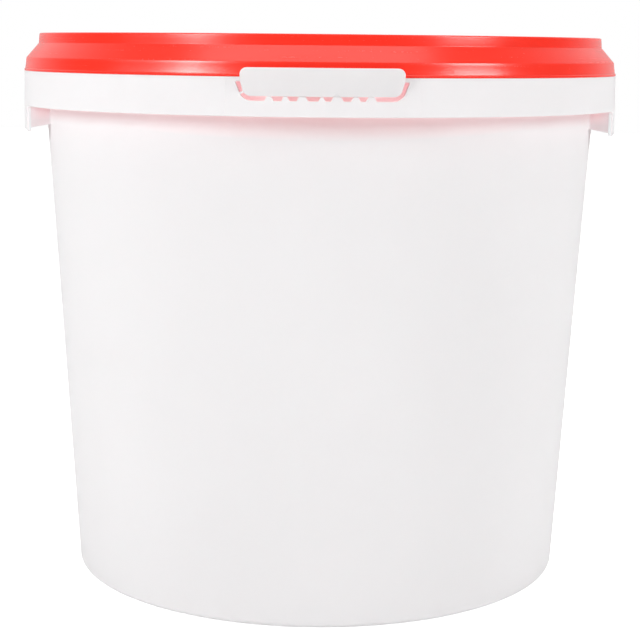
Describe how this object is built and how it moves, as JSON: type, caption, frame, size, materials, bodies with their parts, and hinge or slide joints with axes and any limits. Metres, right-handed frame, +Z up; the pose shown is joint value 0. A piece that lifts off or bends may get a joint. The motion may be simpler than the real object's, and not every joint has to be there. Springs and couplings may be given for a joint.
{
  "type": "fermenting bucket",
  "caption": "Tapered white plastic fermenting bucket with a hanging apron, moulded side grips and a tear-off tab, closed by a red press-on lid with a recessed panel and airlock grommet.",
  "frame": {"origin": "centre of the foot ring, on the surface the bucket stands on", "axes": "+Z up along the bucket's axis, -Y towards the tear-off tab (the front), +X towards the right-hand grip"},
  "size_m": [0.3908, 0.3945, 0.3555],
  "materials": {
    "bucket_white": "satin white polypropylene, slightly translucent",
    "tab_white": "satin white polypropylene, slightly translucent",
    "lid_red": "bright red polypropylene, soft gloss",
    "gasket_grey": "soft grey seal",
    "grommet_rubber": "black rubber"
  },
  "bodies": {
    "bucket": {"bucket": "bucket_white"},
    "lid": {"lid": "lid_red", "lid_gasket": "gasket_grey", "airlock_grommet": "grommet_rubber"},
    "tamper_tab": {"tamper_tab": "tab_white"}
  },
  "joints": [
    {"name": "lid_lift", "type": "slide", "parent": "bucket", "child": "lid", "axis": [0, 0, 1], "range_m": [0, 0.12]},
    {"name": "tab_tear_off", "type": "slide", "parent": "bucket", "child": "tamper_tab", "axis": [0, -1, 0], "range_m": [0, 0.04]}
  ]
}
